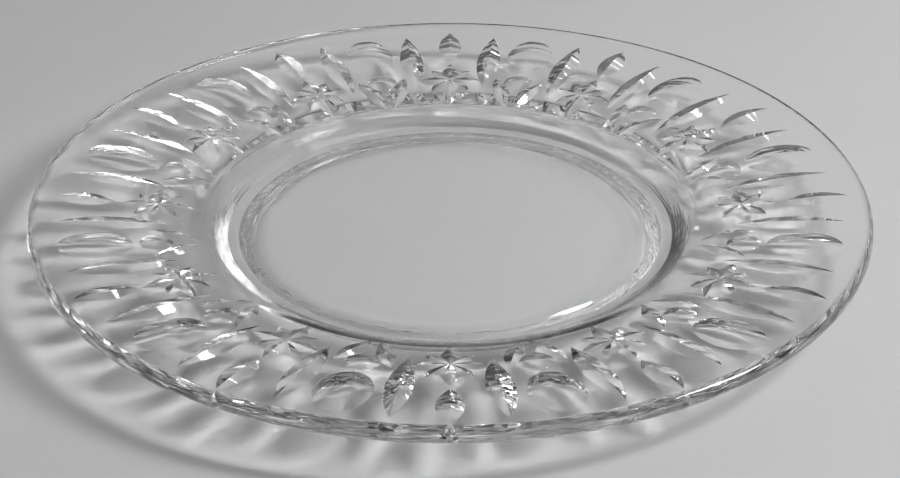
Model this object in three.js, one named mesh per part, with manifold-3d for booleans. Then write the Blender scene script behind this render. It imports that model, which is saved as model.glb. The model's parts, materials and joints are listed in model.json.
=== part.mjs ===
// A round salad plate of clear cut glass: one thick blank with a sunk well, a standing foot ring and
// a wide sloping rim, and a wheel-cut pattern ground into the underside of that rim.
// Millimetres, +Z up. The origin is the centre of the foot's resting face.
import * as THREE from "three";
import { mergeVertices } from "three/addons/utils/BufferGeometryUtils.js";
import Module from "manifold-3d";

const wasm = await Module();
wasm.setup();

// Blank: overall size and wall thicknesses, with heights above the table
const PLATE_DIAMETER = 203;
const EDGE_HEIGHT = 14.5;
const RIM_SLOPE = THREE.MathUtils.degToRad(6);
const VERGE_THICKNESS = 4.6;
const EDGE_THICKNESS = 4.2;
const WELL_THICKNESS = 3;

// Blank: well, verge and foot. All sizes of the section are at its sharp corners, before rounding
const VERGE_DIAMETER = 124;
const WELL_DIAMETER = 112;
const FOOT_DIAMETER = 110.4;
const FOOT_FACE_WIDTH = 3.7;
const FOOT_RECESS_DEPTH = 2.4;
const FOOT_INNER_LEAN = 5.2;
const FOOT_OUTER_LEAN = THREE.MathUtils.degToRad(43);

// Blank: rounding of each corner of the section
const RECESS_FILLET = 10;
const FOOT_INNER_FILLET = 0.5;
const FOOT_OUTER_FILLET = 0.7;
const FOOT_ROOT_FILLET = 9;
const EDGE_FILLET = 1.9;
const VERGE_FILLET = 9;
const WELL_FILLET = 14;

// Pattern: repeats, and the plain glass left round them
const REPEATS = 12;
const FOOT_MARGIN = 2.2;
const EDGE_MARGIN = 4.2;

// Pattern: mitre cuts, ground with a V-edged wheel
const MITRE_HALF_ANGLE = THREE.MathUtils.degToRad(63);
const STAR_DIAMETER = 18;
const STAR_DIAGONAL = 15;
const STAR_DEPTH = 1.5;
const SPOKE_DEPTH = 1.6;
const SPOKE_GAP = 1.2;
const SIDE_SPOKE_ANGLE = THREE.MathUtils.degToRad(7.5);
const SIDE_SPOKE_DROP = 13;
const SIDE_SPOKE_SETBACK = 2;
const LEAF_LENGTH = 12;
const LEAF_DEPTH = 1.1;
const LEAF_ANGLE = THREE.MathUtils.degToRad(3.2);
const LEAF_LEAN = THREE.MathUtils.degToRad(24);

// Pattern: hollows, ground with a round-edged wheel
const OLIVE_LENGTH = 18;
const OLIVE_WIDTH = 12.5;
const OLIVE_DEPTH = 1.2;
const PUNTY_DIAMETER = 8;
const PUNTY_DEPTH = 0.9;

// Facets: how finely round stretches are divided
const BLANK_SEGMENTS = 60;
const FILLET_STEPS = 1;
const MITRE_STEPS = 6;
const HOLLOW_RINGS = 2;
const HOLLOW_SIDES = 12;

// How far a cutting tool stands proud of the surface that it cuts
const TOOL_OVERRUN = 0.5;

const plateRadius = PLATE_DIAMETER / 2;
const footRadius = FOOT_DIAMETER / 2;
const vergeRadius = VERGE_DIAMETER / 2;
const wellTop = FOOT_RECESS_DEPTH + WELL_THICKNESS;

// Height of the rim's upper face at a radius.
function rimTop(radius) {
  return EDGE_HEIGHT - (plateRadius - radius) * Math.tan(RIM_SLOPE);
}

// The rim's underside is a straight line in section, from under the verge to the edge.
const underVerge = rimTop(vergeRadius) - VERGE_THICKNESS;
const underEdge = EDGE_HEIGHT - EDGE_THICKNESS;
const undersideSlope = (underEdge - underVerge) / (plateRadius - vergeRadius);

function rimUnderside(radius) {
  return underEdge - (plateRadius - radius) * undersideSlope;
}

// The foot's outer wall leans out until it meets the rim's underside.
const footWallLean = Math.tan(FOOT_OUTER_LEAN);
const footRootHeight = rimUnderside(footRadius) / (1 - undersideSlope * footWallLean);
const footRootRadius = footRadius + footRootHeight * footWallLean;

// An outline through the corners, each rounded by its own fillet, as a path of lines and arcs.
function filletedOutline(corners) {
  const path = new THREE.Path();
  const points = corners.map(([r, z]) => new THREE.Vector2(r, z));
  path.moveTo(points[0].x, points[0].y);
  for (let i = 1; i < points.length - 1; i++) {
    const back = points[i - 1].clone().sub(points[i]).normalize();
    const ahead = points[i + 1].clone().sub(points[i]).normalize();
    const halfCorner = Math.acos(back.dot(ahead)) / 2;
    const fillet = corners[i][2];
    const start = points[i].clone().addScaledVector(back, fillet / Math.tan(halfCorner));
    const bisector = back.clone().add(ahead).normalize();
    const centre = points[i].clone().addScaledVector(bisector, fillet / Math.sin(halfCorner));
    const end = points[i].clone().addScaledVector(ahead, fillet / Math.tan(halfCorner));
    const clockwise = back.cross(ahead) > 0;
    path.lineTo(start.x, start.y);
    path.absarc(
      centre.x,
      centre.y,
      fillet,
      start.clone().sub(centre).angle(),
      end.clone().sub(centre).angle(),
      clockwise,
    );
  }
  path.lineTo(points.at(-1).x, points.at(-1).y);
  return path.getPoints(FILLET_STEPS);
}

// The blank's half section, from the axis underneath, round the rim, to the axis on top.
function blankSection() {
  const footInner = footRadius - FOOT_FACE_WIDTH;
  return filletedOutline([
    [0, FOOT_RECESS_DEPTH],
    [footInner - FOOT_INNER_LEAN, FOOT_RECESS_DEPTH, RECESS_FILLET],
    [footInner, 0, FOOT_INNER_FILLET],
    [footRadius, 0, FOOT_OUTER_FILLET],
    [footRootRadius, footRootHeight, FOOT_ROOT_FILLET],
    [plateRadius, underEdge, EDGE_FILLET],
    [plateRadius, EDGE_HEIGHT, EDGE_FILLET],
    [vergeRadius, rimTop(vergeRadius), VERGE_FILLET],
    [WELL_DIAMETER / 2, wellTop, WELL_FILLET],
    [0, wellTop],
  ]);
}

// A closed geometry as a solid that can be cut.
function solidOf(geometry) {
  const bare = geometry.clone();
  bare.deleteAttribute("normal");
  bare.deleteAttribute("uv");
  const merged = mergeVertices(bare);
  const triVerts = [];
  for (let i = 0; i < merged.index.count; i += 3) {
    const [a, b, c] = [0, 1, 2].map((k) => merged.index.getX(i + k));
    if (a !== b && b !== c && c !== a) triVerts.push(a, b, c);
  }
  return new wasm.Manifold(
    new wasm.Mesh({
      numProp: 3,
      vertProperties: new Float32Array(merged.attributes.position.array),
      triVerts: new Uint32Array(triVerts),
    }),
  );
}

// A solid back as a geometry.
function geometryOf(solid) {
  const mesh = solid.getMesh();
  const geometry = new THREE.BufferGeometry();
  geometry.setAttribute("position", new THREE.BufferAttribute(mesh.vertProperties, 3));
  geometry.setIndex(new THREE.BufferAttribute(mesh.triVerts, 1));
  geometry.computeVertexNormals();
  return geometry;
}

function indexedGeometry(vertices, triangles) {
  const geometry = new THREE.BufferGeometry();
  const flat = vertices.flatMap((v) => v);
  geometry.setAttribute("position", new THREE.Float32BufferAttribute(flat, 3));
  geometry.setIndex(triangles.flatMap((t) => t));
  return geometry;
}

// The tool for one mitre cut: a keel that a wheel's rim sweeps, with flat flanks up to a flat deck.
// Local X runs along the cut, and local Z points into the glass from the surface at 0.
function mitreTool(length, depth) {
  const reach = (length / 2) * Math.sqrt(1 + TOOL_OVERRUN / depth);
  const vertices = [[-reach, 0, -TOOL_OVERRUN]];
  const triangles = [];
  for (let i = 1; i < MITRE_STEPS; i++) {
    const x = reach * ((2 * i) / MITRE_STEPS - 1);
    const keel = depth * (1 - (2 * x / length) ** 2);
    const halfWidth = (keel + TOOL_OVERRUN) * Math.tan(MITRE_HALF_ANGLE);
    vertices.push([x, 0, keel], [x, halfWidth, -TOOL_OVERRUN], [x, -halfWidth, -TOOL_OVERRUN]);
  }
  const tip = vertices.length;
  vertices.push([reach, 0, -TOOL_OVERRUN]);
  triangles.push([0, 1, 2], [0, 3, 1], [0, 2, 3]);
  for (let i = 1; i < tip - 3; i += 3) {
    const [keel, left, right] = [i, i + 1, i + 2];
    const [nextKeel, nextLeft, nextRight] = [i + 3, i + 4, i + 5];
    triangles.push([keel, nextKeel, nextLeft], [keel, nextLeft, left]);
    triangles.push([keel, right, nextRight], [keel, nextRight, nextKeel]);
    triangles.push([left, nextLeft, nextRight], [left, nextRight, right]);
  }
  const [keel, left, right] = [tip - 3, tip - 2, tip - 1];
  triangles.push([tip, left, keel], [tip, keel, right], [tip, right, left]);
  return indexedGeometry(vertices, triangles);
}

// The tool for one hollow: a shallow elliptic bowl under a flat deck, in the same local axes.
function hollowTool(length, width, depth) {
  const spread = Math.sqrt(1 + TOOL_OVERRUN / depth);
  const vertices = [[0, 0, depth]];
  const triangles = [];
  const at = (ring, side) => 1 + (ring - 1) * HOLLOW_SIDES + (side % HOLLOW_SIDES);
  for (let ring = 1; ring <= HOLLOW_RINGS; ring++) {
    const share = (spread * ring) / HOLLOW_RINGS;
    for (let side = 0; side < HOLLOW_SIDES; side++) {
      const angle = (2 * Math.PI * side) / HOLLOW_SIDES;
      const x = share * (length / 2) * Math.cos(angle);
      const y = share * (width / 2) * Math.sin(angle);
      vertices.push([x, y, depth * (1 - share ** 2)]);
    }
  }
  const deck = vertices.length;
  vertices.push([0, 0, -TOOL_OVERRUN]);
  for (let side = 0; side < HOLLOW_SIDES; side++) {
    triangles.push([0, at(1, side), at(1, side + 1)]);
    for (let ring = 1; ring < HOLLOW_RINGS; ring++) {
      const [a, b] = [at(ring, side), at(ring, side + 1)];
      const [c, d] = [at(ring + 1, side), at(ring + 1, side + 1)];
      triangles.push([a, c, d], [a, d, b]);
    }
    triangles.push([deck, at(HOLLOW_RINGS, side + 1), at(HOLLOW_RINGS, side)]);
  }
  return indexedGeometry(vertices, triangles);
}

// Sets a tool against the rim's underside, at a radius and an angle round the plate.
// turn swings the tool from radial about the surface's own normal.
function setTool(tool, radius, angle, turn = 0) {
  const tilt = -Math.atan(undersideSlope);
  const placed = tool.clone();
  placed.rotateZ(turn).rotateY(tilt).translate(radius, 0, rimUnderside(radius)).rotateZ(angle);
  return solidOf(placed);
}

// Radii that the pattern's rings stand on, worked out from the foot and the edge.
const starRadius = footRootRadius + FOOT_MARGIN + STAR_DIAMETER / 2;
const spokeEnd = plateRadius - EDGE_MARGIN;
const spokeStart = starRadius + STAR_DIAMETER / 2 + SPOKE_GAP;
const sideSpokeEnd = spokeEnd - SIDE_SPOKE_SETBACK;
const sideSpokeStart = spokeStart - SIDE_SPOKE_DROP;
const sideSpokeRadius = (sideSpokeStart + sideSpokeEnd) / 2;
const oliveRadius = sideSpokeEnd - OLIVE_LENGTH / 2;
const puntyRadius = oliveRadius - OLIVE_LENGTH / 2 - SPOKE_GAP - PUNTY_DIAMETER / 2;
const leafRadius = puntyRadius - PUNTY_DIAMETER / 2;

const starArm = mitreTool(STAR_DIAMETER, STAR_DEPTH);
const starDiagonal = mitreTool(STAR_DIAGONAL, STAR_DEPTH);
const spoke = mitreTool(spokeEnd - spokeStart, SPOKE_DEPTH);
const sideSpoke = mitreTool(sideSpokeEnd - sideSpokeStart, SPOKE_DEPTH);
const leaf = mitreTool(LEAF_LENGTH, LEAF_DEPTH);
const olive = hollowTool(OLIVE_LENGTH, OLIVE_WIDTH, OLIVE_DEPTH);
const punty = hollowTool(PUNTY_DIAMETER, PUNTY_DIAMETER, PUNTY_DEPTH);

// One repeat: a star in a fan of three spokes, then an olive over a round punty between two leaves.
function repeatTools(angle) {
  const halfRepeat = angle + Math.PI / REPEATS;
  return [
    setTool(starArm, starRadius, angle),
    setTool(starArm, starRadius, angle, Math.PI / 2),
    setTool(starDiagonal, starRadius, angle, Math.PI / 4),
    setTool(starDiagonal, starRadius, angle, -Math.PI / 4),
    setTool(spoke, (spokeStart + spokeEnd) / 2, angle),
    setTool(sideSpoke, sideSpokeRadius, angle + SIDE_SPOKE_ANGLE),
    setTool(sideSpoke, sideSpokeRadius, angle - SIDE_SPOKE_ANGLE),
    setTool(olive, oliveRadius, halfRepeat),
    setTool(punty, puntyRadius, halfRepeat),
    setTool(leaf, leafRadius, halfRepeat + LEAF_ANGLE, LEAF_LEAN),
    setTool(leaf, leafRadius, halfRepeat - LEAF_ANGLE, -LEAF_LEAN),
  ];
}

// The whole plate: the blank less every cut.
function cutPlate() {
  const blank = new THREE.LatheGeometry(blankSection(), BLANK_SEGMENTS).rotateX(Math.PI / 2);
  let glass = solidOf(blank);
  for (let i = 0; i < REPEATS; i++) {
    for (const tool of repeatTools((2 * Math.PI * i) / REPEATS)) glass = glass.subtract(tool);
  }
  return geometryOf(glass);
}

const clearGlass = new THREE.MeshStandardMaterial({
  color: 0xf1f3f3,
  roughness: 0.03,
  metalness: 0,
  transparent: true,
  opacity: 0.35,
});

const plate = new THREE.Mesh(cutPlate(), clearGlass);
plate.name = "plate";

const saladPlate = new THREE.Group();
saladPlate.add(plate);

export default saladPlate;
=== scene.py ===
"""Clear cut-glass salad plate on a pale table, lit softly from the right.

Metres, +Z up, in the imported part's frame. The plate is made fine: its section is turned round the
axis, and a Geometry Nodes tree grinds the pattern into the underside of the rim with one set of
wheel shapes for each repeat.
"""

import json
import math

import bpy
from mathutils import Matrix, Vector

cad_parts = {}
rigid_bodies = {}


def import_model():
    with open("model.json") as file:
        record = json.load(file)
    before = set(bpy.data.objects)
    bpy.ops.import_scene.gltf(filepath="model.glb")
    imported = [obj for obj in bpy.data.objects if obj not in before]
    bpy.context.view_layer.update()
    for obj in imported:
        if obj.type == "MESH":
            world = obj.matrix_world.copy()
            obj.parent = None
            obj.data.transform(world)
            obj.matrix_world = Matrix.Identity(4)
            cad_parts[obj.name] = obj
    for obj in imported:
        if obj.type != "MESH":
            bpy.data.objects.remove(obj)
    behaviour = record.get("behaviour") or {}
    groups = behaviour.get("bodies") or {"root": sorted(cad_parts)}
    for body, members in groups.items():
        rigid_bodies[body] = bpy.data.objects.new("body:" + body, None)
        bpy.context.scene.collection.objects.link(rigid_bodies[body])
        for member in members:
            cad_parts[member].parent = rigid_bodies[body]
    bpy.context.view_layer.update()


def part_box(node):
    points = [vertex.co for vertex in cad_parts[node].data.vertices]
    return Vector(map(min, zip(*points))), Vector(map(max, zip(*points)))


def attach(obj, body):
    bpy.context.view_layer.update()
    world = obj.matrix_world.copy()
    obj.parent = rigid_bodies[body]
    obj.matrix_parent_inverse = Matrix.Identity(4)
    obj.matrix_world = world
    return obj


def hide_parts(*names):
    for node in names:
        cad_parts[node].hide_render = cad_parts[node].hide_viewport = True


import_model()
MM = 0.001

# Section of the blank, at its sharp corners before rounding
RIM_SLOPE = math.radians(6)
VERGE_THICKNESS = 4.6 * MM
EDGE_THICKNESS = 4.2 * MM
WELL_THICKNESS = 3 * MM
VERGE_RADIUS = 62 * MM
WELL_RADIUS = 56 * MM
FOOT_RADIUS = 55.2 * MM
FOOT_FACE_WIDTH = 3.7 * MM
FOOT_RECESS_DEPTH = 2.4 * MM
FOOT_INNER_LEAN = 5.2 * MM
FOOT_OUTER_LEAN = math.radians(43)

# Rounding of the section's corners
RECESS_FILLET = 10 * MM
FOOT_INNER_FILLET = 0.5 * MM
FOOT_OUTER_FILLET = 0.7 * MM
FOOT_ROOT_FILLET = 9 * MM
EDGE_FILLET = 1.9 * MM
VERGE_FILLET = 9 * MM
WELL_FILLET = 14 * MM
FILLET_STEP = math.radians(3)
STRAIGHT_STEP = 3 * MM

# Cut pattern
REPEATS = 12
FOOT_MARGIN = 2.2 * MM
EDGE_MARGIN = 4.2 * MM
MITRE_HALF_ANGLE = math.radians(63)
STAR_CUTS = 4
STAR_DIAMETER = 18 * MM
STAR_DIAGONAL = 15 * MM
STAR_DEPTH = 1.5 * MM
SPOKE_DEPTH = 1.6 * MM
SPOKE_GAP = 1.2 * MM
SIDE_SPOKE_ANGLE = math.radians(7.5)
SIDE_SPOKE_DROP = 13 * MM
SIDE_SPOKE_SETBACK = 2 * MM
OLIVE_LENGTH = 18 * MM
OLIVE_WIDTH = 12.5 * MM
OLIVE_DEPTH = 1.2 * MM
PUNTY_DIAMETER = 8 * MM
PUNTY_DEPTH = 0.9 * MM
LEAF_LENGTH = 12 * MM
LEAF_DEPTH = 1.1 * MM
LEAF_ANGLE = math.radians(3.2)
LEAF_LEAN = math.radians(24)
TOOL_OVERRUN = 0.5 * MM

# How finely the glass is divided
BLANK_SEGMENTS = 360
MITRE_STEPS = 32
HOLLOW_RINGS = 8
HOLLOW_SIDES = 48
CREASE = math.radians(9)
CUT_MARK = "wheel_cut"

# Finish of the glass: heights of the marks, and their lengths along and across the turning
GLASS_TINT = (0.985, 0.988, 0.988, 1)
GLASS_IOR = 1.54
RIPPLE_BAND = 2.5 * MM
RIPPLE_HEIGHT = 0.65 * MM
RIPPLE_LENGTH = 2.5 * MM
RIPPLE_WIDTH = 0.8 * MM
TURNING_HEIGHT = 0.16 * MM
TURNING_LENGTH = 15 * MM
TURNING_WIDTH = 0.45 * MM
EDGE_WAVE_HEIGHT = 0.1 * MM
EDGE_WAVE_LENGTH = 2.5 * MM
EDGE_WAVE_WIDTH = 1.5 * MM
WHEEL_MARK_HEIGHT = 0.004 * MM
WHEEL_MARK_SIZE = 0.8 * MM
FOOT_ROUGHNESS = 0.06
POLISH_WAVE_HEIGHT = 0.006 * MM
POLISH_WAVE_SIZE = 12 * MM
BAND_FADE = 0.4 * MM

# The table
TABLE_RADIUS = 3.0
TABLE_SIDES = 96
TABLE_DROP = 0.05 * MM
TABLE_GREY = (0.61, 0.63)
TABLE_MOTTLE_SIZE = 40 * MM
TABLE_GRAIN_SIZE = 1.5 * MM
TABLE_GRAIN_HEIGHT = 0.004 * MM
TABLE_ROUGHNESS = 0.9

# The studio: a tall softbox on the right, grey walls that are dark low down and in front, a lit
# horizon and a pale ceiling; each span is two places along an axis, from -1 to 1, and the light
# at each
KEY_WIDTH = 0.2
KEY_HEIGHT = 0.4
KEY_POWER = 7.3
KEY_DISTANCE = 1.0
KEY_ELEVATION = math.radians(42)
KEY_AZIMUTH = math.radians(-8)
SURROUND_STRENGTH = 0.7
FRONT_TO_BACK = (-0.5, 0.7, 0.1, 0.72)
LEFT_TO_RIGHT = (-0.3, 0.3, 0.6, 1.15)
LOW_TO_HIGH = (0.38, 0.48, 0.05, 1.0)
HORIZON = (0.02, 0.1, 0.35, 0.0)
OVERHEAD = (0.65, 0.95, 0.0, 0.4)
LIGHT_BOUNCES = 24
GLOSS_BOUNCES = 12

# The camera, in the photograph's frame of 900 by 478 pixels
FRAME_WIDTH = 900
SENSOR_WIDTH = 36
FOCAL_PIXELS = 2016.5
CAMERA_DISTANCE = 490.3 * MM
CAMERA_ELEVATION = math.radians(28.287)
CAMERA_PITCH = math.radians(1.451)
CAMERA_NEAR = 0.01


def section_sizes():
    """The plate's radius and its edge's sharp top corner, from the CAD box."""
    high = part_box("plate")[1]
    half_corner = (math.pi / 2 - RIM_SLOPE) / 2
    edge_height = high.z + EDGE_FILLET * (1 / math.tan(half_corner) - 1)
    return high.x, edge_height


PLATE_RADIUS, EDGE_HEIGHT = section_sizes()


def rim_top(radius):
    return EDGE_HEIGHT - (PLATE_RADIUS - radius) * math.tan(RIM_SLOPE)


UNDER_EDGE = EDGE_HEIGHT - EDGE_THICKNESS
UNDER_VERGE = rim_top(VERGE_RADIUS) - VERGE_THICKNESS
UNDER_SLOPE = (UNDER_EDGE - UNDER_VERGE) / (PLATE_RADIUS - VERGE_RADIUS)


def rim_underside(radius):
    return UNDER_EDGE - (PLATE_RADIUS - radius) * UNDER_SLOPE


FOOT_INNER_RADIUS = FOOT_RADIUS - FOOT_FACE_WIDTH
FOOT_LEAN = math.tan(FOOT_OUTER_LEAN)
FOOT_ROOT_HEIGHT = rim_underside(FOOT_RADIUS) / (1 - UNDER_SLOPE * FOOT_LEAN)
FOOT_ROOT_RADIUS = FOOT_RADIUS + FOOT_ROOT_HEIGHT * FOOT_LEAN
WELL_TOP = FOOT_RECESS_DEPTH + WELL_THICKNESS
RIPPLE_INNER_RADIUS = FOOT_INNER_RADIUS - RIPPLE_BAND


def node(tree, kind, inputs=None, **settings):
    """Adds a node to a tree; each input is a value or another node's output."""
    made = tree.nodes.new(kind)
    for name, value in settings.items():
        setattr(made, name, value)
    for socket, value in (inputs or {}).items():
        if isinstance(value, bpy.types.NodeSocket):
            tree.links.new(value, made.inputs[socket])
        else:
            made.inputs[socket].default_value = value
    return made


def sums(tree, operation, *values):
    """A chain of Math nodes over two or more values."""
    total = values[0]
    for value in values[1:]:
        total = node(tree, "ShaderNodeMath", {0: total, 1: value}, operation=operation).outputs[0]
    return total


def ramp(tree, value, low, high, at_low=0.0, at_high=1.0):
    """A smooth step of a value from low to high."""
    spans = {"Value": value, "From Min": low, "From Max": high, "To Min": at_low, "To Max": at_high}
    return node(tree, "ShaderNodeMapRange", spans, interpolation_type="SMOOTHSTEP").outputs["Result"]


def straight(start, end):
    """Points that divide a straight stretch, without its ends."""
    steps = math.ceil((end - start).length / STRAIGHT_STEP)
    return [start.lerp(end, i / steps) for i in range(1, steps)]


def filleted_outline(corners):
    """Points along an outline whose corners, (radius, height, fillet), are rounded."""
    points = [Vector(corners[0][:2])]
    for before, corner, after in zip(corners, corners[1:], corners[2:]):
        here, fillet = Vector(corner[:2]), corner[2]
        back = (Vector(before[:2]) - here).normalized()
        ahead = (Vector(after[:2]) - here).normalized()
        half = back.angle(ahead) / 2
        centre = here + (back + ahead).normalized() * (fillet / math.sin(half))
        start = here + back * (fillet / math.tan(half)) - centre
        sweep = math.pi - 2 * half
        if back.x * ahead.y - back.y * ahead.x > 0:
            sweep = -sweep
        steps = max(2, math.ceil(abs(sweep) / FILLET_STEP))
        points += straight(points[-1], centre + start)
        for i in range(steps + 1):
            points.append(centre + Matrix.Rotation(sweep * i / steps, 2) @ start)
    last = Vector(corners[-1][:2])
    return points + straight(points[-1], last) + [last]


def blank_section():
    """Half section of the uncut plate, from the axis underneath, round the rim, to the axis on top."""
    return filleted_outline(
        [
            (0, FOOT_RECESS_DEPTH),
            (FOOT_INNER_RADIUS - FOOT_INNER_LEAN, FOOT_RECESS_DEPTH, RECESS_FILLET),
            (FOOT_INNER_RADIUS, 0, FOOT_INNER_FILLET),
            (FOOT_RADIUS, 0, FOOT_OUTER_FILLET),
            (FOOT_ROOT_RADIUS, FOOT_ROOT_HEIGHT, FOOT_ROOT_FILLET),
            (PLATE_RADIUS, UNDER_EDGE, EDGE_FILLET),
            (PLATE_RADIUS, EDGE_HEIGHT, EDGE_FILLET),
            (VERGE_RADIUS, rim_top(VERGE_RADIUS), VERGE_FILLET),
            (WELL_RADIUS, WELL_TOP, WELL_FILLET),
            (0, WELL_TOP),
        ]
    )


def mesh_object(name, vertices, faces):
    mesh = bpy.data.meshes.new(name)
    mesh.from_pydata([tuple(v) for v in vertices], [], faces)
    mesh.update()
    return bpy.data.objects.new(name, mesh)


def tool_object(name, vertices, faces):
    """A cutting tool, whose faces leave their mark on the glass that they cut."""
    tool = mesh_object(name, vertices, faces)
    mark = tool.data.attributes.new(CUT_MARK, "FLOAT", "FACE")
    mark.data.foreach_set("value", [1.0] * len(faces))
    return tool


def turned_blank(section):
    """The section turned round the axis, with one vertex at each pole."""
    ring = section[1:-1]
    vertices = [(0, 0, section[0].y), (0, 0, section[-1].y)]
    for i in range(BLANK_SEGMENTS):
        angle = 2 * math.pi * i / BLANK_SEGMENTS
        vertices += [(p.x * math.cos(angle), p.x * math.sin(angle), p.y) for p in ring]
    faces = []
    count = len(ring)
    for i in range(BLANK_SEGMENTS):
        here = 2 + i * count
        there = 2 + (i + 1) % BLANK_SEGMENTS * count
        faces.append((0, there, here))
        faces.append((1, here + count - 1, there + count - 1))
        for k in range(count - 1):
            faces.append((here + k, there + k, there + k + 1, here + k + 1))
    return mesh_object("blank", vertices, faces)


def mitre_tool(name, length, depth):
    """A V-edged wheel's cut: local X along it, local Z into the glass from the surface at 0."""
    reach = length / 2 * math.sqrt(1 + TOOL_OVERRUN / depth)
    vertices = [(-reach, 0, -TOOL_OVERRUN)]
    for i in range(1, MITRE_STEPS):
        x = reach * (2 * i / MITRE_STEPS - 1)
        keel = depth * (1 - (2 * x / length) ** 2)
        half_width = (keel + TOOL_OVERRUN) * math.tan(MITRE_HALF_ANGLE)
        vertices += [
            (x, 0, keel),
            (x, half_width, -TOOL_OVERRUN),
            (x, -half_width, -TOOL_OVERRUN),
        ]
    tip = len(vertices)
    vertices.append((reach, 0, -TOOL_OVERRUN))
    faces = [(0, 1, 2), (0, 3, 1), (0, 2, 3)]
    for i in range(1, tip - 3, 3):
        faces.append((i, i + 3, i + 4, i + 1))
        faces.append((i, i + 2, i + 5, i + 3))
        faces.append((i + 1, i + 4, i + 5, i + 2))
    faces += [(tip, tip - 2, tip - 3), (tip, tip - 3, tip - 1), (tip, tip - 1, tip - 2)]
    return tool_object(name, vertices, faces)


def hollow_tool(name, length, width, depth):
    """A round-edged wheel's cut: a shallow elliptic bowl, in the same local axes."""
    spread = math.sqrt(1 + TOOL_OVERRUN / depth)
    vertices = [(0, 0, depth)]
    for ring in range(1, HOLLOW_RINGS + 1):
        share = spread * ring / HOLLOW_RINGS
        for side in range(HOLLOW_SIDES):
            angle = 2 * math.pi * side / HOLLOW_SIDES
            x = share * length / 2 * math.cos(angle)
            y = share * width / 2 * math.sin(angle)
            vertices.append((x, y, depth * (1 - share**2)))

    def at(ring, side):
        return 1 + (ring - 1) * HOLLOW_SIDES + side % HOLLOW_SIDES

    faces = []
    for side in range(HOLLOW_SIDES):
        faces.append((0, at(1, side), at(1, side + 1)))
        for ring in range(1, HOLLOW_RINGS):
            faces.append(
                (at(ring, side), at(ring + 1, side), at(ring + 1, side + 1), at(ring, side + 1))
            )
    faces.append([at(HOLLOW_RINGS, side) for side in reversed(range(HOLLOW_SIDES))])
    return tool_object(name, vertices, faces)


def set_tool(tool, radius, angle=0.0, turn=0.0):
    """Places a tool against the rim's underside: turn swings it from radial."""
    tilt = -math.atan(UNDER_SLOPE)
    tool.data.transform(
        Matrix.Rotation(angle, 4, "Z")
        @ Matrix.Translation((radius, 0, rim_underside(radius)))
        @ Matrix.Rotation(tilt, 4, "Y")
        @ Matrix.Rotation(turn, 4, "Z")
    )
    return tool


def repeat_tools():
    """The tools of one repeat: a star in a fan of three spokes, and an olive over a leafed punty."""
    star_radius = FOOT_ROOT_RADIUS + FOOT_MARGIN + STAR_DIAMETER / 2
    spoke_end = PLATE_RADIUS - EDGE_MARGIN
    spoke_start = star_radius + STAR_DIAMETER / 2 + SPOKE_GAP
    side_end = spoke_end - SIDE_SPOKE_SETBACK
    side_start = spoke_start - SIDE_SPOKE_DROP
    side_radius = (side_start + side_end) / 2
    olive_radius = side_end - OLIVE_LENGTH / 2
    punty_radius = olive_radius - OLIVE_LENGTH / 2 - PUNTY_DIAMETER / 2 - SPOKE_GAP
    leaf_radius = punty_radius - PUNTY_DIAMETER / 2
    half_repeat = math.pi / REPEATS
    tools = []
    for i in range(STAR_CUTS):
        length = STAR_DIAGONAL if i % 2 else STAR_DIAMETER
        arm = mitre_tool("star_arm", length, STAR_DEPTH)
        tools.append(set_tool(arm, star_radius, turn=math.pi * i / STAR_CUTS))
    spoke = mitre_tool("spoke", spoke_end - spoke_start, SPOKE_DEPTH)
    tools.append(set_tool(spoke, (spoke_start + spoke_end) / 2))
    for side in (-1, 1):
        spoke = mitre_tool("side_spoke", side_end - side_start, SPOKE_DEPTH)
        tools.append(set_tool(spoke, side_radius, side * SIDE_SPOKE_ANGLE))
        leaf = mitre_tool("leaf", LEAF_LENGTH, LEAF_DEPTH)
        tools.append(set_tool(leaf, leaf_radius, half_repeat + side * LEAF_ANGLE, side * LEAF_LEAN))
    olive = hollow_tool("olive", OLIVE_LENGTH, OLIVE_WIDTH, OLIVE_DEPTH)
    tools.append(set_tool(olive, olive_radius, half_repeat))
    punty = hollow_tool("punty", PUNTY_DIAMETER, PUNTY_DIAMETER, PUNTY_DEPTH)
    tools.append(set_tool(punty, punty_radius, half_repeat))
    return tools


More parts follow.
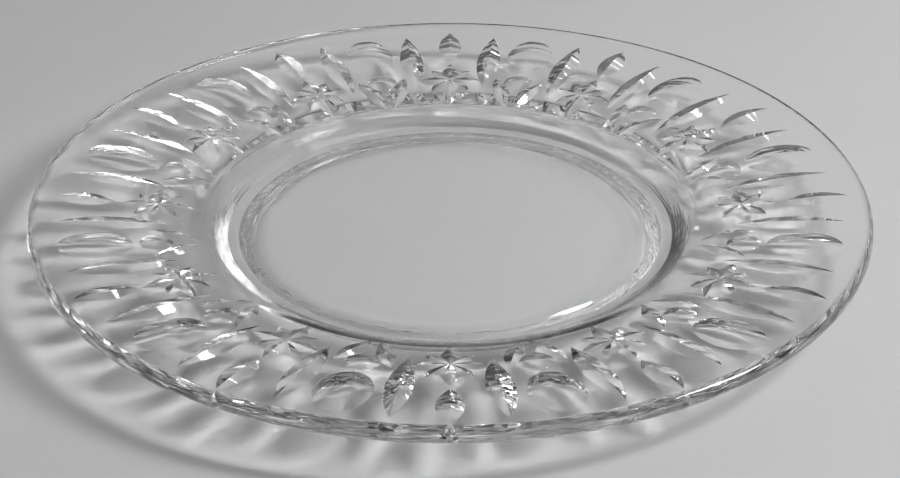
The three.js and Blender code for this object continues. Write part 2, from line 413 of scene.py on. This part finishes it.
def cutting_tree():
    """Repeats a collection of tools round the axis and cuts each of them out of the blank."""
    tree = bpy.data.node_groups.new("wheel_cutting", "GeometryNodeTree")
    interface = tree.interface
    interface.new_socket("Blank", in_out="INPUT", socket_type="NodeSocketGeometry")
    interface.new_socket("Tools", in_out="INPUT", socket_type="NodeSocketCollection")
    interface.new_socket("Repeats", in_out="INPUT", socket_type="NodeSocketInt")
    interface.new_socket("Glass", in_out="INPUT", socket_type="NodeSocketMaterial")
    interface.new_socket("Plate", in_out="OUTPUT", socket_type="NodeSocketGeometry")
    given = node(tree, "NodeGroupInput").outputs
    points = node(tree, "GeometryNodePoints", {"Count": given["Repeats"]})
    tools = node(
        tree,
        "GeometryNodeCollectionInfo",
        {"Collection": given["Tools"], "Separate Children": True},
    )
    index = node(tree, "GeometryNodeInputIndex").outputs["Index"]
    share = sums(tree, "DIVIDE", index, given["Repeats"])
    turn = node(tree, "ShaderNodeCombineXYZ", {"Z": sums(tree, "MULTIPLY", share, 2 * math.pi)})
    around = node(
        tree,
        "GeometryNodeInstanceOnPoints",
        {
            "Points": points.outputs["Points"],
            "Instance": tools.outputs["Instances"],
            "Rotation": turn.outputs["Vector"],
        },
    )
    each = node(
        tree,
        "GeometryNodeRealizeInstances",
        {"Geometry": around.outputs["Instances"], "Realize All": False, "Depth": 1},
    )
    cut = node(
        tree,
        "GeometryNodeMeshBoolean",
        {"Mesh 1": given["Blank"], "Mesh 2": each.outputs["Geometry"]},
        operation="DIFFERENCE",
        solver="MANIFOLD",
    )
    real = node(tree, "GeometryNodeRealizeInstances", {"Geometry": cut.outputs["Mesh"]})
    finish = node(
        tree,
        "GeometryNodeSetMaterial",
        {"Geometry": real.outputs["Geometry"], "Material": given["Glass"]},
    )
    node(tree, "NodeGroupOutput", {"Plate": finish.outputs["Geometry"]})
    return tree


def wheel_cut_plate(glass):
    """The blank with the pattern cut into it, as a plain mesh."""
    shelf = bpy.data.collections.new("cutting_tools")
    for tool in repeat_tools():
        shelf.objects.link(tool)
    blank = turned_blank(blank_section())
    bpy.context.scene.collection.objects.link(blank)
    tree = cutting_tree()
    cutting = blank.modifiers.new("wheel_cutting", "NODES")
    cutting.node_group = tree
    values = {"Tools": shelf, "Repeats": REPEATS, "Glass": glass}
    for item in tree.interface.items_tree:
        if item.name in values:
            cutting[item.identifier] = values[item.name]
    depsgraph = bpy.context.evaluated_depsgraph_get()
    mesh = bpy.data.meshes.new_from_object(blank.evaluated_get(depsgraph), depsgraph=depsgraph)
    for tool in list(shelf.objects):
        bpy.data.objects.remove(tool)
    bpy.data.collections.remove(shelf)
    bpy.data.objects.remove(blank)
    mesh.shade_smooth()
    mesh.set_sharp_from_angle(angle=CREASE)
    plate = bpy.data.objects.new("cut_plate", mesh)
    bpy.context.scene.collection.objects.link(plate)
    return plate


def band(tree, value, low, high):
    """1 between two values and 0 outside them, with soft ends."""
    inside = ramp(tree, value, low - BAND_FADE, low + BAND_FADE)
    outside = ramp(tree, value, high - BAND_FADE, high + BAND_FADE, 1.0, 0.0)
    return sums(tree, "MULTIPLY", inside, outside)


def turned_noise(tree, outward, radius, at, length, width):
    """Noise drawn out round the axis: at a radius, its length along the turning and its width across."""
    along = node(tree, "ShaderNodeVectorMath", {0: outward, "Scale": at / length}, operation="SCALE")
    across = node(tree, "ShaderNodeCombineXYZ", {"Z": sums(tree, "DIVIDE", radius, width)})
    spot = node(tree, "ShaderNodeVectorMath", {0: along.outputs[0], 1: across.outputs[0]})
    return node(tree, "ShaderNodeTexNoise", {"Vector": spot.outputs[0], "Scale": 1.0}).outputs["Fac"]


def plain_noise(tree, place, size):
    return node(tree, "ShaderNodeTexNoise", {"Vector": place, "Scale": 1 / size}).outputs["Fac"]


def relief(tree, *marks):
    """A bump from marks, each a noise, a height and, unless it is everywhere, where it lies."""
    height = sums(tree, "ADD", *[sums(tree, "MULTIPLY", *mark) for mark in marks])
    bump = node(tree, "ShaderNodeBump", {"Height": height, "Distance": 1.0, "Strength": 1.0})
    return bump.outputs["Normal"]


def polished_glass():
    """Clear polished glass that shows its making.

    The step inside the foot is rippled, the wall has turning lines, the cuts have wheel marks, and the
    edge is a little wavy.
    """
    material = bpy.data.materials.new("polished_glass")
    material.use_nodes = True
    tree = material.node_tree
    place = node(tree, "ShaderNodeTexCoord").outputs["Object"]
    height = node(tree, "ShaderNodeSeparateXYZ", {0: place}).outputs["Z"]
    flat = node(tree, "ShaderNodeVectorMath", {0: place, 1: (1, 1, 0)}, operation="MULTIPLY").outputs[0]
    outward = node(tree, "ShaderNodeVectorMath", {0: flat}, operation="NORMALIZE").outputs[0]
    radius = node(tree, "ShaderNodeVectorMath", {0: flat}, operation="LENGTH").outputs["Value"]

    below = ramp(tree, height, FOOT_RECESS_DEPTH, WELL_TOP, 1.0, 0.0)
    step = sums(tree, "MULTIPLY", below, band(tree, radius, RIPPLE_INNER_RADIUS, FOOT_INNER_RADIUS))
    face = sums(tree, "MULTIPLY", below, band(tree, radius, FOOT_INNER_RADIUS, FOOT_RADIUS))
    wall = band(tree, radius, FOOT_RADIUS, FOOT_ROOT_RADIUS)
    edge = ramp(tree, radius, PLATE_RADIUS - EDGE_FILLET, PLATE_RADIUS)
    cut = node(tree, "ShaderNodeAttribute", attribute_name=CUT_MARK).outputs["Fac"]
    ripple = turned_noise(tree, outward, radius, FOOT_INNER_RADIUS, RIPPLE_LENGTH, RIPPLE_WIDTH)
    turning = turned_noise(tree, outward, radius, FOOT_RADIUS, TURNING_LENGTH, TURNING_WIDTH)
    sway = turned_noise(tree, outward, radius, PLATE_RADIUS, EDGE_WAVE_LENGTH, EDGE_WAVE_WIDTH)
    normal = relief(
        tree,
        (ripple, RIPPLE_HEIGHT, step),
        (turning, TURNING_HEIGHT, wall),
        (sway, EDGE_WAVE_HEIGHT, edge),
        (plain_noise(tree, place, WHEEL_MARK_SIZE), WHEEL_MARK_HEIGHT, cut),
        (plain_noise(tree, place, POLISH_WAVE_SIZE), POLISH_WAVE_HEIGHT),
    )

    shader = tree.nodes["Principled BSDF"]
    shader.inputs["Base Color"].default_value = GLASS_TINT
    shader.inputs["IOR"].default_value = GLASS_IOR
    shader.inputs["Transmission Weight"].default_value = 1.0
    tree.links.new(sums(tree, "MULTIPLY", face, FOOT_ROUGHNESS), shader.inputs["Roughness"])
    tree.links.new(normal, shader.inputs["Normal"])
    return material


def pale_table():
    """Matt pale grey laminate with a faint mottle and a fine grain."""
    material = bpy.data.materials.new("pale_table")
    material.use_nodes = True
    tree = material.node_tree
    place = node(tree, "ShaderNodeTexCoord").outputs["Object"]
    grey = ramp(tree, plain_noise(tree, place, TABLE_MOTTLE_SIZE), 0.0, 1.0, *TABLE_GREY)
    grain = plain_noise(tree, place, TABLE_GRAIN_SIZE)
    shader = tree.nodes["Principled BSDF"]
    shader.inputs["Roughness"].default_value = TABLE_ROUGHNESS
    tree.links.new(grey, shader.inputs["Base Color"])
    tree.links.new(relief(tree, (grain, TABLE_GRAIN_HEIGHT)), shader.inputs["Normal"])
    return material


def lay_table():
    bpy.ops.mesh.primitive_circle_add(
        vertices=TABLE_SIDES, radius=TABLE_RADIUS, fill_type="NGON", location=(0, 0, -TABLE_DROP)
    )
    table = bpy.context.object
    table.name = "table"
    table.data.materials.append(pale_table())


def hang_softbox():
    softbox = bpy.data.lights.new("softbox", "AREA")
    softbox.shape = "RECTANGLE"
    softbox.size = KEY_WIDTH
    softbox.size_y = KEY_HEIGHT
    softbox.energy = KEY_POWER
    key = bpy.data.objects.new("softbox", softbox)
    bpy.context.scene.collection.objects.link(key)
    reach = KEY_DISTANCE * math.cos(KEY_ELEVATION)
    key.location = (
        reach * math.cos(KEY_AZIMUTH),
        reach * math.sin(KEY_AZIMUTH),
        KEY_DISTANCE * math.sin(KEY_ELEVATION),
    )
    key.rotation_euler = (-key.location).to_track_quat("-Z", "Y").to_euler()


def dim_surroundings():
    """Grey studio walls, brightest high up at the back and right, with a lit horizon and a pale ceiling."""
    world = bpy.data.worlds.new("studio")
    bpy.context.scene.world = world
    world.use_nodes = True
    tree = world.node_tree
    direction = node(tree, "ShaderNodeTexCoord").outputs["Generated"]
    toward = node(tree, "ShaderNodeSeparateXYZ", {0: direction}).outputs
    walls = sums(
        tree,
        "MULTIPLY",
        ramp(tree, toward["Y"], *FRONT_TO_BACK),
        ramp(tree, toward["X"], *LEFT_TO_RIGHT),
        ramp(tree, toward["Z"], *LOW_TO_HIGH),
    )
    horizon = ramp(tree, toward["Z"], *HORIZON)
    ceiling = ramp(tree, toward["Z"], *OVERHEAD)
    background = tree.nodes["Background"]
    background.inputs["Strength"].default_value = SURROUND_STRENGTH
    tree.links.new(sums(tree, "ADD", walls, horizon, ceiling), background.inputs["Color"])


def trace_light_through_glass():
    """Lets light run through the glass often enough, unclamped, for the bright streaks in its shadow."""
    scene = bpy.context.scene
    scene.cycles.max_bounces = LIGHT_BOUNCES
    scene.cycles.transmission_bounces = LIGHT_BOUNCES
    scene.cycles.glossy_bounces = GLOSS_BOUNCES
    scene.cycles.blur_glossy = 0.0
    scene.cycles.sample_clamp_indirect = 0.0
    scene.cycles.use_guiding = True
    scene.cycles.use_surface_guiding = True
    scene.cycles.use_volume_guiding = False
    scene.view_settings.view_transform = "Standard"


def set_camera():
    lens = bpy.data.cameras.new("camera")
    lens.sensor_width = SENSOR_WIDTH
    lens.lens = FOCAL_PIXELS / FRAME_WIDTH * SENSOR_WIDTH
    lens.clip_start = CAMERA_NEAR
    camera = bpy.data.objects.new("camera", lens)
    bpy.context.scene.collection.objects.link(camera)
    camera.matrix_world = (
        Matrix.Translation((0, 0, EDGE_HEIGHT))
        @ Matrix.Rotation(math.pi / 2 - CAMERA_ELEVATION, 4, "X")
        @ Matrix.Translation((0, 0, CAMERA_DISTANCE))
        @ Matrix.Rotation(-CAMERA_PITCH, 4, "X")
    )
    bpy.context.scene.camera = camera


set_camera()
lay_table()
hang_softbox()
dim_surroundings()
trace_light_through_glass()

plate = wheel_cut_plate(polished_glass())
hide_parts("plate")
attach(plate, "root")
